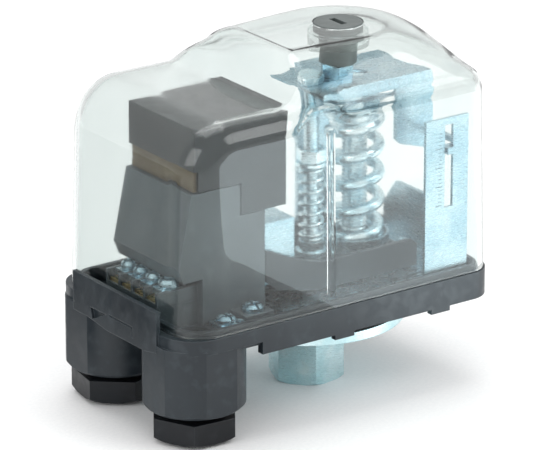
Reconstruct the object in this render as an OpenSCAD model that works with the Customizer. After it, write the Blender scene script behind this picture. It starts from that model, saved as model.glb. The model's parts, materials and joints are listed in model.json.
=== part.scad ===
// Pressure switch with a clear lift-off cover, two cable glands and a hex pressure port.
// Millimetres. Origin at the centre of the port's mouth, +Z up the port's axis,
// +X from the gland end to the scale end, front face towards -Y.

/* [Base housing] */
// Overall length from the end plate to the scale end
body_l = 115.4; // [115:0.1:116]
// Overall depth from front to back
body_d = 70.8; // [70.4:0.1:71.2]
// Distance from the end plate to the port's axis
port_x = 70.1; // [69.8:0.1:70.4]
// Height of the parting line between base and cover above the port's mouth
rim_z = 35.4; // [35.3:0.1:35.5]
// Height of the skirt below the parting line
skirt_h = 8.55; // [8.3:0.05:8.8]
// Height of the band above the gland bodies
band_h = 4.6; // [4.2:0.1:5]
// Corner radius at the gland end
corner_l = 11.4; // [10.8:0.1:12]
// Corner radius at the scale end
corner_r = 8.3; // [8:0.1:8.6]
// Half width of the flat end plate
end_plate_w = 22.1; // [21.5:0.1:22.4]

/* [Cable glands] */
// Distance of each gland axis from the end plate
gland_x = 14.4; // [14.3:0.1:14.6]
// Distance of each gland axis from the centre plane
gland_y = 20.6; // [20.4:0.1:20.8]
// Radius of a gland body
gland_r = 15.4; // [15:0.1:15.6]
// Height of a gland body's lower end above the port's mouth
gland_z = 10.3; // [10:0.1:10.6]
// Width across flats of a gland nut
gland_nut_af = 24; // [23.6:0.1:24.4]
// Radius of the hole for the cable
cable_r = 5.5; // [5:0.1:5.8]

/* [Pressure port] */
// Width across flats of the port's hexagon
port_af = 20.6; // [20:0.1:22]
// Wall radius of the G1/4 threaded hole
port_r = 5.8; // [5.7:0.05:6]
// Depth of the threaded hole
port_depth = 13; // [12:0.5:14]
// Radius of the pressure flange
flange_r = 30; // [29.5:0.1:30.4]

/* [Cover] */
// Wall of the clear cover
cover_t = 2; // [1.8:0.1:2.2]
// Height of the low shoulder above the port's mouth
shoulder_z = 98.9; // [98.6:0.1:99.2]
// Height of the dome above the port's mouth
dome_z = 110.4; // [110.2:0.1:110.8]
// Place of the cover screw along X
screw_x = 11.4; // [11.2:0.1:11.6]

/* [Mechanism] */
// Place of the range spring along X
main_x = 17.4; // [17.2:0.1:17.6]
// Place of the differential spring along X
diff_x = 1.3; // [1.2:0.1:1.5]
// Place of the lever's pivot along X
pivot_x = 26; // [25.8:0.1:26.2]
// Height of the lever's pivot
pivot_z = 39.9; // [39.8:0.05:40]
// Outer half width of the lever
lever_w = 16.3; // [16.2:0.1:16.4]

/* [Hidden] */
$fn = 64;

anthracite = [0.28, 0.31, 0.34];
black_plastic = [0.14, 0.15, 0.17];
zinc = [0.66, 0.80, 0.83];
brass_tone = [0.78, 0.62, 0.30];
clear_tone = [0.86, 0.90, 0.88, 0.35];

eps = 0.05;
x_left = -port_x;
x_right = body_l - port_x;
y_half = body_d / 2;
band_back = 0.8;
skirt_z = rim_z - skirt_h;
floor_z = rim_z - 3.4;
floor_t = 2.5;
skirt_t = 2.5;
end_plate_t = 1.5;
end_plate_top = 6.7;
gx = x_left + gland_x;
thread_r = 9.3;
cover_gap = 0.3;
cover_x0 = x_left + 2.8;
cover_x1 = x_right - 0.4;
cover_y = y_half - cover_gap;
cover_z = rim_z + 0.2;
head_r = 7.5;
shank_r = 5.75;
flange_z = 20.5;
flange_t = 3;
neck_r = 8;
membrane_z = flange_z + flange_t;
clamp_z = membrane_z + 1.4;
chamber_r = 20;
screw_ring_r = 25;
screw_count = 6;
plate_t = 1.5;
chassis_z = floor_z;
chassis_top = chassis_z + plate_t;
web_z = 37.2;
cheek_z = 34;
web_top = web_z + plate_t;
lever_top = 42.7;
lever_end = 29.1;
pin_end = 15.6;
ear_r = 2.8;
bridge_z = 91.5;
bridge_top = bridge_z + plate_t;
bridge_screw_xs = [11.8, 18.2];
seat_z = 83.1;
arm_z = 73.8;
scale_y = -30;
block_x0 = -52.5;
block_x1 = -20;
block_y = 16.6;
block_top = 93;
lip_t = 1.1;
lip_z = 73.8;
shelf_z = 40.5;
terminal_pitch = 6.5;
terminal_x = -57;
terminal_ys = [for (i = [-1.5 : 1 : 1.5]) i * terminal_pitch];
pilot_z = 29.9;
block_screw_r = 1.5;
block_screw_places = [[-35, -20.6], [-35, 20.6]];
earth_screw_r = 1.5;
earth_screw_places = [[-44.5, -21], [-44.5, -26.6]];
scale_screw_r = 1.3;
scale_screw_places = [[24.6, -25.6], [33.8, -25.6]];

// ---- shared shapes ----

// Rectangle with one radius at the low-X end and another at the high-X end.
module outline(x0, x1, w, r0, r1) {
    translate([x0 + r0, -w]) square([x1 - x0 - r0 - r1, 2 * w]);
    translate([x0, -w + r0]) square([r0 + eps, 2 * (w - r0)]);
    translate([x1 - r1 - eps, -w + r1]) square([r1 + eps, 2 * (w - r1)]);
    for (s = [-1, 1]) {
        translate([x0 + r0, s * (w - r0)]) circle(r0);
        translate([x1 - r1, s * (w - r1)]) circle(r1);
    }
}

module base_outline(inset) {
    outline(x_left + band_back + inset, x_right - inset, y_half - inset, corner_l - inset, corner_r - inset);
}

module cover_outline(inset) {
    outline(cover_x0 + inset, cover_x1 - inset, cover_y - inset, corner_l - 0.4 - inset,
            corner_r - 0.4 - inset);
}

module box(x0, x1, y0, y1, z0, z1) {
    translate([x0, y0, z0]) cube([x1 - x0, y1 - y0, z1 - z0]);
}

module rod(x, y, z0, z1, r) {
    translate([x, y, z0]) cylinder(r = r, h = z1 - z0);
}

module ring(x, y, z0, z1, r_out, r_in) {
    difference() {
        rod(x, y, z0, z1, r_out);
        rod(x, y, z0 - 1, z1 + 1, r_in);
    }
}

module hex_rod(x, y, z0, z1, af, turn) {
    translate([x, y, z0]) rotate([0, 0, turn]) cylinder(r = af / sqrt(3), h = z1 - z0, $fn = 6);
}

// Hexagon with its corners broken by a cone at the low end, the high end or both.
module hex_nut(x, y, z0, z1, af, turn, low, high) {
    r = af / sqrt(3) + 0.05;
    c = 0.13 * af / 2;
    intersection() {
        hex_rod(x, y, z0, z1, af, turn);
        translate([x, y, 0]) rotate_extrude() polygon([
            [0, z0], [low ? r - c : r, z0], [r, low ? z0 + 0.6 * c : z0],
            [r, high ? z1 - 0.6 * c : z1], [high ? r - c : r, z1], [0, z1]
        ]);
    }
}

// Pan-head screw with a cross-cut head, pointing down from the seat height.
module pan_screw(x, y, seat, head, head_h, shank, length) {
    difference() {
        union() {
            translate([x, y, seat]) rotate_extrude()
                polygon([[0, 0], [head, 0], [head, 0.6 * head_h], [0.7 * head, head_h], [0, head_h]]);
            rod(x, y, seat - length, seat + eps, shank);
        }
        box(x - head, x + head, y - 0.4, y + 0.4, seat + 0.5 * head_h, seat + head_h + 1);
        box(x - 0.4, x + 0.4, y - head, y + head, seat + 0.5 * head_h, seat + head_h + 1);
    }
}

// Turns the XZ outline of a child into a slab from y0 to y1.
module slab_y(y0, y1) {
    translate([0, y1, 0]) rotate([90, 0, 0]) linear_extrude(y1 - y0) children();
}

// Turns the YZ outline of a child into a slab from x0 to x1.
module slab_x(x0, x1) {
    translate([x0, 0, 0]) rotate([90, 0, 90]) linear_extrude(x1 - x0) children();
}

// Height of a compression spring's wire centre after t of all its turns, with closed end coils.
function coil_z(t, turns, wire, rise) =
    let (closed = 0.9, d = 2 * wire, mid = (rise - 2 * closed * d) / (turns - 2 * closed))
    t < closed ? t * d
    : t > turns - closed ? rise - (turns - t) * d
    : closed * d + (t - closed) * mid;

module coil_spring(x, y, z0, z1, mean_r, wire, turns, per_turn, sides) {
    steps = round(turns * per_turn);
    rise = z1 - z0 - 2 * wire;
    points = [
        for (i = [0 : steps])
            let (t = turns * i / steps, a = 360 * t, zc = z0 + wire + coil_z(t, turns, wire, rise))
            for (j = [0 : sides - 1])
                let (b = 360 * j / sides, r = mean_r + wire * cos(b))
                [x + r * cos(a), y + r * sin(a), zc + wire * sin(b)]
    ];
    walls = [
        for (i = [0 : steps - 1])
            for (j = [0 : sides - 1])
                let (k = (j + 1) % sides, a = i * sides, b = (i + 1) * sides)
                [a + j, b + j, b + k, a + k]
    ];
    ends = [
        [for (j = [0 : sides - 1]) j],
        [for (j = [sides - 1 : -1 : 0]) steps * sides + j]
    ];
    polyhedron(points, concat(walls, ends), convexity = 10);
}

// ---- housing ----

module gland_body(s) {
    intersection() {
        translate([gx, s * gland_y, 0]) rotate_extrude() polygon([
            [0, gland_z], [gland_r - 1, gland_z], [gland_r, gland_z + 1],
            [gland_r, rim_z - band_h + 1], [0, rim_z - band_h + 1]
        ]);
        box(x_left + 0.1, 0, -y_half + 0.4, y_half - 0.4, 0, rim_z);
    }
}

module foot_tabs() {
    for (s = [-1, 1], x = [-15, 20.8])
        box(x, x + 7, s > 0 ? y_half - 2 : -y_half, s > 0 ? y_half : -y_half + 2,
            skirt_z - 1.5, skirt_z + 0.5);
}

module skirt_and_floor() {
    translate([0, 0, rim_z - band_h]) linear_extrude(band_h) base_outline(0);
    translate([0, 0, floor_z - floor_t]) linear_extrude(floor_t) base_outline(1.5);
    intersection() {
        translate([0, 0, skirt_z]) linear_extrude(skirt_h) base_outline(0);
        box(gx + gland_r - 1, x_right + 1, -y_half - 1, y_half + 1, skirt_z - 1, rim_z + 1);
    }
    difference() {
        translate([0, 0, rim_z - 1]) linear_extrude(2.6) cover_outline(cover_t + 0.4);
        translate([0, 0, rim_z - 2]) linear_extrude(6) cover_outline(cover_t + 1.9);
    }
}

module end_plate() {
    slab_x(x_left, x_left + end_plate_t) polygon([
        [-end_plate_w, rim_z + end_plate_top], [end_plate_w, rim_z + end_plate_top],
        [end_plate_w, rim_z - 5.7], [14, rim_z - 5.7], [4, rim_z - 7], [-16, rim_z - 7],
        [-end_plate_w, rim_z - 5.8]
    ]);
}

module base_housing() {
    color(anthracite) difference() {
        union() {
            difference() {
                skirt_and_floor();
                difference() {
                    translate([0, 0, skirt_z - 1]) linear_extrude(floor_z - floor_t - skirt_z + 1)
                        base_outline(skirt_t);
                    rod(0, 0, skirt_z - 2, floor_z, flange_r - 1);
                }
            }
            rod(0, 0, clamp_z, floor_z, flange_r - 1);
            for (s = [-1, 1]) gland_body(s);
            end_plate();
            foot_tabs();
        }
        translate([0, 0, floor_z]) linear_extrude(skirt_h) cover_outline(cover_t + 1.9);
        for (s = [-1, 1]) {
            rod(gx, s * gland_y, gland_z - 1, 28, thread_r);
            rod(gx, s * gland_y, 27, rim_z, 6.5);
        }
        rod(0, 0, clamp_z - 1, rim_z, chamber_r);
        for (i = [0 : screw_count - 1]) rotate([0, 0, 30 + 360 / screw_count * i])
            rod(screw_ring_r, 0, clamp_z - 1, rim_z, 2.2);
        for (p = block_screw_places) rod(p.x, p.y, pilot_z, rim_z, block_screw_r + 0.03);
        for (p = earth_screw_places) rod(p.x, p.y, pilot_z, rim_z, earth_screw_r + 0.03);
        for (p = scale_screw_places) rod(p.x, p.y, pilot_z, rim_z, scale_screw_r + 0.03);
        slab_x(x_left - 1, x_left + 1) polygon([[12.8, 33.2], [4.1, 33.4], [11.8, 29.6]]);
        slab_x(x_left - 1, x_left + 0.4) polygon([
            [2.7, 33.9], [-9.8, 33.9], [-9.8, 30.4], [-9.2, 30.4], [-9.2, 33.3], [2.7, 33.3]
        ]);
    }
}

// Side view of the cover's low part: drafted ends, a large radius at the gland end.
module cover_side(inset) {
    r0 = 16 - inset;
    r1 = 8 - inset;
    x0 = cover_x0 + inset;
    x1 = cover_x1 - inset;
    top = shoulder_z - inset;
    draft0 = 1.7;
    draft1 = 1.2;
    polygon([
        [x0, cover_z - 1], [x1, cover_z - 1], [x1 - draft1, top - r1], [x1 - draft1 - r1, top],
        [x0 + draft0 + r0, top], [x0 + draft0, top - r0]
    ]);
    translate([x0 + draft0 + r0, top - r0]) circle(r0);
    translate([x1 - draft1 - r1, top - r1]) circle(r1);
}

// End view of the cover's low part: slightly drafted front and back, rounded top edges.
module cover_end(inset) {
    r = 6 - inset;
    w = cover_y - inset;
    top = shoulder_z - inset;
    draft = 0.8;
    polygon([
        [-w, cover_z - 1], [w, cover_z - 1], [w - draft, top - r], [w - draft - r, top],
        [-w + draft + r, top], [-w + draft, top - r]
    ]);
    for (s = [-1, 1]) translate([s * (w - draft - r), top - r]) circle(r);
}

// One level of the dome: straight across the gland side, round over the springs.
module dome_slice(z, x0, w, x1, grow) {
    translate([0, 0, z]) linear_extrude(0.02) {
        for (s = [-1, 1]) translate([x0 + 4, s * (w - 4)]) circle(4, $fn = 24);
        for (s = [-1, 1]) translate([x1 - grow, s * (w + 1.2 - grow)]) circle(grow, $fn = 32);
    }
}

module dome(inset) {
    hull() {
        dome_slice(shoulder_z - 6, -32 + inset, 32 - inset, 41.5 - inset, 8);
        dome_slice(103 - inset, -24 + inset, 24.6 - inset, 36.8 - inset, 20);
    }
    hull() {
        dome_slice(103 - inset - 0.1, -24 + inset, 24.6 - inset, 36.8 - inset, 20);
        dome_slice(dome_z - 2.5 - inset, -20.3 + inset, 20.3 - inset, 33.2 - inset, 18);
        dome_slice(dome_z - 0.02 - inset, -17.8 + inset, 17.6 - inset, 30.6 - inset, 16);
    }
}

module cover_solid(inset) {
    intersection() {
        translate([0, 0, cover_z - 0.5]) linear_extrude(80) cover_outline(inset);
        slab_y(-y_half - 1, y_half + 1) cover_side(inset);
        slab_x(x_left - 1, x_right + 1) cover_end(inset);
    }
    dome(inset);
}

module cover() {
    color(clear_tone) difference() {
        union() {
            difference() {
                cover_solid(0);
                cover_solid(cover_t);
            }
            rod(screw_x, 0, 103.4, dome_z - 0.6, head_r + 1.7);
            for (s = [-1, 1])
                box(-17, -14, s > 0 ? 32.1 : -34.2, s > 0 ? 34.2 : -32.1, rim_z + 2.4, shoulder_z - 8);
        }
        box(x_left - 1, x_right + 1, -y_half - 1, y_half + 1, 0, cover_z);
        rod(screw_x, 0, 106.4, dome_z + 2, head_r + 0.3);
        rod(screw_x, 0, 100, dome_z, shank_r + 0.3);
    }
}

module cover_screw() {
    color(anthracite) difference() {
        union() {
            translate([screw_x, 0, 0]) rotate_extrude() polygon([
                [0, 93.5], [2.4, 93.5], [2.9, 94], [2.9, 97.6], [shank_r, 97.6], [shank_r, 106.5],
                [head_r, 106.5], [head_r, dome_z - 0.1], [head_r - 0.3, dome_z + 0.2], [0, dome_z + 0.2]
            ]);
        }
        box(screw_x - 1.1, screw_x + 1.1, -3.4, 3.4, dome_z - 2.2, dome_z + 1);
    }
}

module cover_insert() {
    color(zinc) difference() {
        hex_rod(screw_x - 0.4, 0, bridge_top, 97.2, 9, 0);
        rod(screw_x, 0, bridge_top - 1, 98, 3.2);
    }
}

// ---- pressure side ----

module pressure_port() {
    color(zinc) difference() {
        union() {
            hex_nut(0, 0, 0, flange_z, port_af, 8.8, true, false);
            rod(0, 0, flange_z - 1, membrane_z - 1, neck_r);
        }
        rod(0, 0, -1, port_depth, port_r);
        rod(0, 0, port_depth - 1, membrane_z + 1, 2.5);
    }
}

module pressure_flange() {
    color(zinc) difference() {
        rod(0, 0, flange_z, membrane_z, flange_r);
        rod(0, 0, flange_z - 1, membrane_z + 1, neck_r + 0.02);
        rod(0, 0, membrane_z - 1, membrane_z + 1, 17);
        for (i = [0 : screw_count - 1]) rotate([0, 0, 30 + 360 / screw_count * i]) {
            rod(screw_ring_r, 0, flange_z - 1, membrane_z + 1, 2.2);
            translate([screw_ring_r, 0, flange_z - 0.01]) cylinder(r1 = 4.3, r2 = 2.2, h = 2.1);
        }
    }
}

module diaphragm() {
    color("dimgray") difference() {
        rotate_extrude() polygon([
            [0, 23.9], [16.4, 23.9], [17.6, 24.9], [18.4, 24.9], [19.6, membrane_z],
            [flange_r - 1, membrane_z], [flange_r - 1, clamp_z], [19.9, clamp_z], [18.9, 26.3],
            [17.1, 26.3], [16.2, 25.3], [0, 25.3]
        ]);
        for (i = [0 : screw_count - 1]) rotate([0, 0, 30 + 360 / screw_count * i])
            rod(screw_ring_r, 0, membrane_z - 1, clamp_z + 1, 2.2);
    }
}

module piston() {
    color(zinc) rotate_extrude() polygon([
        [0, 25.4], [15.8, 25.4], [15.8, 27.6], [5, 27.6], [5, 35], [2, 36], [2, 36.9], [0, 36.9]
    ]);
}

module flange_screws() {
    color(zinc) for (i = [0 : screw_count - 1]) rotate([0, 0, 30 + 360 / screw_count * i])
        difference() {
            translate([screw_ring_r, 0, 0]) rotate_extrude() polygon([
                [0, flange_z], [4, flange_z], [2, flange_z + 2], [2, chassis_top], [0, chassis_top]
            ]);
            box(screw_ring_r - 2.4, screw_ring_r + 2.4, -0.4, 0.4, flange_z - 1, flange_z + 1);
            box(screw_ring_r - 0.4, screw_ring_r + 0.4, -2.4, 2.4, flange_z - 1, flange_z + 1);
        }
}

// ---- frame ----

module chassis_plate() {
    color(zinc) difference() {
        union() {
            box(-26, 20.6, -30.9, 30.9, chassis_z, chassis_top);
            box(17, 40.6, -20, 20, chassis_z, chassis_top);
            slab_x(39.1, 40.6) polygon([
                [-14, chassis_z], [14, chassis_z], [14, 44], [8, 52], [-8, 52], [-14, 44]
            ]);
            for (s = [-1, 1]) slab_y(s > 0 ? 12.8 : -14.3, s > 0 ? 14.3 : -12.8) {
                translate([pivot_x - ear_r, chassis_z]) square([2 * ear_r, pivot_z - chassis_z]);
                translate([pivot_x, pivot_z]) circle(ear_r);
            }
        }
        rod(0, 0, chassis_z - 1, chassis_top + 1, 5.06);
        rod(main_x, 0, chassis_z - 1, chassis_top + 1, 4.1);
        for (i = [0 : screw_count - 1]) rotate([0, 0, 30 + 360 / screw_count * i])
            rod(screw_ring_r, 0, chassis_z - 1, chassis_top + 1, 2.1);
        translate([pivot_x, 0, pivot_z]) rotate([90, 0, 0]) cylinder(r = 2.1, h = 60, center = true);
        for (x = bridge_screw_xs) rod(x, 23.2, chassis_z - 1, chassis_top + 1, 1.7);
    }
}

module bridge_bracket() {
    color(zinc) difference() {
        union() {
            box(9, 21, 17.6, 26, chassis_top, chassis_top + plate_t);
            box(9, 21, 17.6, 17.6 + plate_t, chassis_top, bridge_top);
            box(9, 21, 12, 17.6 + plate_t, bridge_z, bridge_top);
            box(-4, 36, -14.5, 13, bridge_z, bridge_top);
            slab_y(-14.5, -13) polygon([
                [22.3, bridge_top], [36, bridge_top], [36, 72], [34.6, 70.2], [24, 73.4], [22.3, 75]
            ]);
        }
        rod(main_x, 0, bridge_z - 1, bridge_top + 1, 4.1);
        rod(diff_x, 0, bridge_z - 1, bridge_top + 1, 2.6);
        for (x = bridge_screw_xs) rod(x, 23.2, chassis_top - 1, chassis_top + 3, 1.7);
    }
}

module bridge_screws() {
    color(zinc) for (x = bridge_screw_xs) pan_screw(x, 23.2, chassis_top + plate_t, 2.9, 2, 1.5, 3);
}

// ---- lever ----

module cheek() {
    polygon([
        [-26.9, 40.5], [-22.5, web_z], [-8, cheek_z], [lever_end, cheek_z],
        [lever_end, lever_top - 1.7], [lever_end - 1.7, lever_top],
        [-4, lever_top], [-8, lever_top + 0.4], [-14, 44.9], [-20.9, 47.8], [-24, 49.4], [-26.9, 50.6]
    ]);
}

module rocker_lever() {
    color(black_plastic) difference() {
        union() {
            box(-23.5, 18.6, -lever_w, lever_w, web_z, web_top);
            box(18, 28.6, -11.3, 11.3, web_z, web_top);
            for (s = [-1, 1])
                slab_y(s > 0 ? lever_w - 1.5 : -lever_w, s > 0 ? lever_w : -lever_w + 1.5) cheek();
        }
        rod(main_x, 0, web_z - 1, web_top + 1, 5.2);
        translate([pivot_x, 0, pivot_z]) rotate([90, 0, 0])
            cylinder(r = 2.06, h = 2 * pin_end + 0.2, center = true);
    }
}

// Two stub pins, because the spring cup fills the middle of the lever.
module pivot_pins() {
    color(zinc) for (s = [-1, 1]) translate([pivot_x, 0, pivot_z]) rotate([s * 90, 0, 0])
        rotate_extrude() polygon([[0, 11.6], [1.7, 11.6], [2, 11.9], [2, pin_end], [0, pin_end]]);
}

module trip_bracket() {
    color(zinc) {
        box(-26.6, -15, -13.9, 12, web_top, web_top + plate_t);
        box(-26.6, -15, -13.9, -12.4, web_top, 58);
        box(-26.6, -15, -13.9, 6, 58 - plate_t, 58);
    }
}

// ---- springs and adjusters ----

module main_stud() {
    color(zinc) {
        rod(main_x, 0, chassis_z, bridge_top - 0.2, 3.9);
        rod(main_x, 0, chassis_top, chassis_top + 2.4, 4.9);
    }
}

module spring_cup() {
    color(zinc) translate([main_x, 0, 0]) rotate_extrude() polygon([
        [5.4, web_top + 0.02], [10.6, web_top + 0.02], [10.6, 43], [9.9, 43], [9.9, web_top + 1.6],
        [5.4, web_top + 1.6]
    ]);
}

module main_spring() {
    color(zinc) coil_spring(main_x, 0, web_top + 1.7, seat_z - 0.1, 7.5, 1.8, 6.1, 20, 10);
}

module indicator_plate() {
    color(zinc) difference() {
        union() {
            rod(main_x, 0, seat_z, seat_z + plate_t, 10.4);
            box(main_x, 38.6, -6.5, -2.5, seat_z, seat_z + plate_t);
            box(36.6, 38.6, -6.5, -2.5, arm_z, seat_z + plate_t);
            box(36.6, 38.6, -28.9, -2.5, arm_z, arm_z + plate_t);
            box(28.8, 38.6, -28.9, -27.7, arm_z, arm_z + 2);
            box(28.8, 31.1, -31.6, -28, arm_z, arm_z + 2);
        }
        rod(main_x, 0, seat_z - 1, seat_z + 3, 4.3);
    }
}

module main_nut() {
    color(zinc) difference() {
        hex_nut(main_x, 0, seat_z + plate_t + 0.1, 90.6, 13, 10, true, true);
        rod(main_x, 0, seat_z, bridge_top, 3.96);
    }
}

module differential_stud() {
    color(zinc) {
        rod(diff_x, 0, 40.8, bridge_top + 1.8, 2.4);
        hex_rod(diff_x, 0, bridge_top + 0.02, bridge_top + 2.6, 7, 0);
    }
}

module spring_bushing() {
    color(zinc) translate([diff_x, 0, 0]) rotate_extrude() polygon([
        [3, web_top], [4.8, web_top], [4.8, 40.4], [3.9, 40.4], [3.9, 43.4], [3, 43.4]
    ]);
}

module differential_spring() {
    color(zinc) coil_spring(diff_x, 0, 43.5, 67.5, 3.4, 0.6, 8, 16, 8);
}

module differential_washer() {
    color(zinc) ring(diff_x, 0, 67.6, 68.6, 4.9, 2.7);
}

module differential_nut() {
    color(zinc) difference() {
        hex_nut(diff_x, 0, 68.7, 72.7, 8, 14, true, true);
        rod(diff_x, 0, 60, 80, 2.46);
    }
}

// ---- scale ----

module scale_plate() {
    color(zinc) difference() {
        union() {
            box(21.3, 37.2, scale_y - 0.5, scale_y + 0.5, floor_z, 85);
            box(21.3, 37.2, scale_y - 0.5, -21.6, floor_z, floor_z + 1);
        }
        box(28.4, 31.5, scale_y - 2, scale_y + 2, 56.8, 82.9);
        for (x = [24.6, 33.8]) rod(x, -25.6, floor_z - 1, floor_z + 2, 1.5);
    }
}

module scale_screws() {
    color(zinc) for (p = scale_screw_places)
        pan_screw(p.x, p.y, floor_z + 1, 2.6, 1.8, scale_screw_r, 2.8);
}

// ---- contacts ----

module contact_cover() {
    color(black_plastic) difference() {
        union() {
            box(block_x0, block_x1, -block_y, block_y, 80, block_top);
            box(-36, block_x1, -block_y, block_y, 64, 81);
            for (s = [-1, 1]) box(block_x0 + 1.5, -35, s > 0 ? block_y - lip_t : -block_y,
                s > 0 ? block_y : -block_y + lip_t, lip_z, 81);
        }
        box(block_x0 + 2, block_x1 - 2, -block_y + 2, block_y - 2, 60, block_top - 2);
    }
}

module insulating_plate() {
    color([0.55, 0.45, 0.33]) box(block_x0 + 0.3, -36.3, -block_y + lip_t + 0.1, block_y - lip_t - 0.1, 73.7, 79.8);
}

module terminal_block() {
    w = block_y - 0.2;
    color(black_plastic) difference() {
        union() {
            slab_y(-w, w) polygon([
                [-53.5, 73.4], [-36.5, 73.4], [-36.5, 63.7], [-27.5, 63.7], [-27.5, floor_z],
                [-49.5, floor_z], [-49.5, 46.5], [-56.5, 46.5], [-58.3, 51]
            ]);
            box(-63, -49, -13.3, 13.3, floor_z, shelf_z);
            for (s = [-1, 1]) box(-40, -30, s > 0 ? w - 1 : -24.5, s > 0 ? 24.5 : -w + 1,
                floor_z, floor_z + 3);
            for (i = [-2 : 2])
                box(-63, -49, i * terminal_pitch - 0.5, i * terminal_pitch + 0.5, shelf_z - 1, 44);
        }
        for (s = [-1, 1]) rod(-35, s * 20.6, floor_z - 1, floor_z + 4, 1.7);
        for (y = terminal_ys) rod(terminal_x, y, shelf_z - 5, shelf_z + 1, 1.5);
    }
}

module block_screws() {
    color(zinc) for (p = block_screw_places)
        pan_screw(p.x, p.y, floor_z + 3, 3.2, 2.2, block_screw_r, 5);
}

module fixed_contacts() {
    color(brass_tone) for (y = [-9, 0, 9]) {
        box(-50, -38, y - 2, y + 2, 79.9, 80.7);
        rod(-47, y, 80.6, 81.2, 1.6);
    }
}

module contact_pusher() {
    color([0.75, 0.73, 0.66]) {
        box(-26.3, -22.4, -4, 4, 58.3, 86);
        box(-48.6, -22.4, -12, 12, 84, 86);
    }
}

module moving_contacts() {
    color(brass_tone) for (y = [-9, 0, 9]) {
        box(-49.4, -36, y - 2, y + 2, 82.9, 83.98);
        rod(-47, y, 81.3, 83, 1.6);
    }
}

module contact_spring() {
    color(zinc) coil_spring(-36, 0, 86.1, 90.9, 3, 0.35, 4.5, 14, 6);
}

module terminal_plates() {
    color(brass_tone) difference() {
        for (y = terminal_ys) box(-62.4, -50, y - 2.5, y + 2.5, shelf_z, shelf_z + 1);
        for (y = terminal_ys) rod(terminal_x, y, shelf_z - 1, shelf_z + 3, 1.5);
    }
}

// Saddle under each terminal screw: a square plate with two lips that hold the wire.
module wire_clamps() {
    z = shelf_z + 2.4;
    color(zinc) difference() {
        for (y = terminal_ys) {
            box(terminal_x - 3.4, terminal_x + 3.4, y - 2.5, y + 2.5, z, z + 1);
            for (s = [-1, 1])
                box(terminal_x + s * 3 - 0.4, terminal_x + s * 3 + 0.4, y - 2.5, y + 2.5, z - 1, z + 1);
        }
        for (y = terminal_ys) rod(terminal_x, y, shelf_z - 1, z + 3, 1.6);
    }
}

module terminal_screws() {
    color(zinc) for (y = terminal_ys) pan_screw(terminal_x, y, shelf_z + 3.5, 2.6, 2.4, 1.4, 8);
}

module earth_strap() {
    color(zinc) difference() {
        box(-47.5, -41.5, -30, -17, floor_z, floor_z + 1.2);
        rod(-44.5, -21, 0, 50, 1.7);
        rod(-44.5, -26.6, 0, 50, 1.7);
    }
}

module earth_screws() {
    color(zinc) for (p = earth_screw_places)
        pan_screw(p.x, p.y, floor_z + 1.2, 2.7, 2.4, earth_screw_r, 3.2);
}

// ---- cable glands ----

module gland_nut(s, turn) {
    color(black_plastic) difference() {
        union() {
            hex_nut(gx, s * gland_y, 1.1, 8, gland_nut_af, turn, true, false);
            rod(gx, s * gland_y, 7.5, 17.5, thread_r - 0.3);
        }
        rod(gx, s * gland_y, 0, 20, cable_r);
    }
}

module gland_washer(s) {
    color("silver") ring(gx, s * gland_y, 17.6, 18.8, thread_r - 0.4, cable_r + 0.6);
}

module gland_seal(s) {
    color("dimgray") ring(gx, s * gland_y, 21.2, 27.8, thread_r - 0.1, cable_r - 0.5);
}

module gland_nut_front() {
    gland_nut(-1, -4.4);
}

module gland_nut_back() {
    gland_nut(1, 20);
}

module gland_washer_front() {
    gland_washer(-1);
}

module gland_washer_back() {
    gland_washer(1);
}

module gland_seal_front() {
    gland_seal(-1);
}

module gland_seal_back() {
    gland_seal(1);
}

base_housing();
cover();
cover_screw();
cover_insert();
pressure_port();
pressure_flange();
diaphragm();
piston();
flange_screws();
chassis_plate();
bridge_bracket();
bridge_screws();
rocker_lever();
pivot_pins();
trip_bracket();
main_stud();
spring_cup();
main_spring();
indicator_plate();
main_nut();
differential_stud();
spring_bushing();
differential_spring();
differential_washer();
differential_nut();
scale_plate();
scale_screws();
contact_cover();
insulating_plate();
terminal_block();
block_screws();
fixed_contacts();
contact_pusher();
moving_contacts();
contact_spring();
terminal_plates();
terminal_screws();
wire_clamps();
earth_strap();
earth_screws();
gland_nut_front();
gland_washer_front();
gland_seal_front();
gland_nut_back();
gland_washer_back();
gland_seal_back();
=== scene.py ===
"""Looks of a pressure switch with a clear cover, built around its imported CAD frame.

The frame holds every rigid part at its real size. This script gives those parts their
finishes, and replaces the parts whose true form is a smooth or wound surface: the
moulded clear cover, the three coil springs and the threaded studs.
Sizes in the classes are millimetres in the frame's axes: origin at the port's mouth,
+Z up the port, +X towards the scale end, the front towards -Y.
"""

from __future__ import annotations

import json
import logging
import math
from dataclasses import dataclass
from enum import Enum
from typing import Any, Callable, Iterable, Sequence

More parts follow.
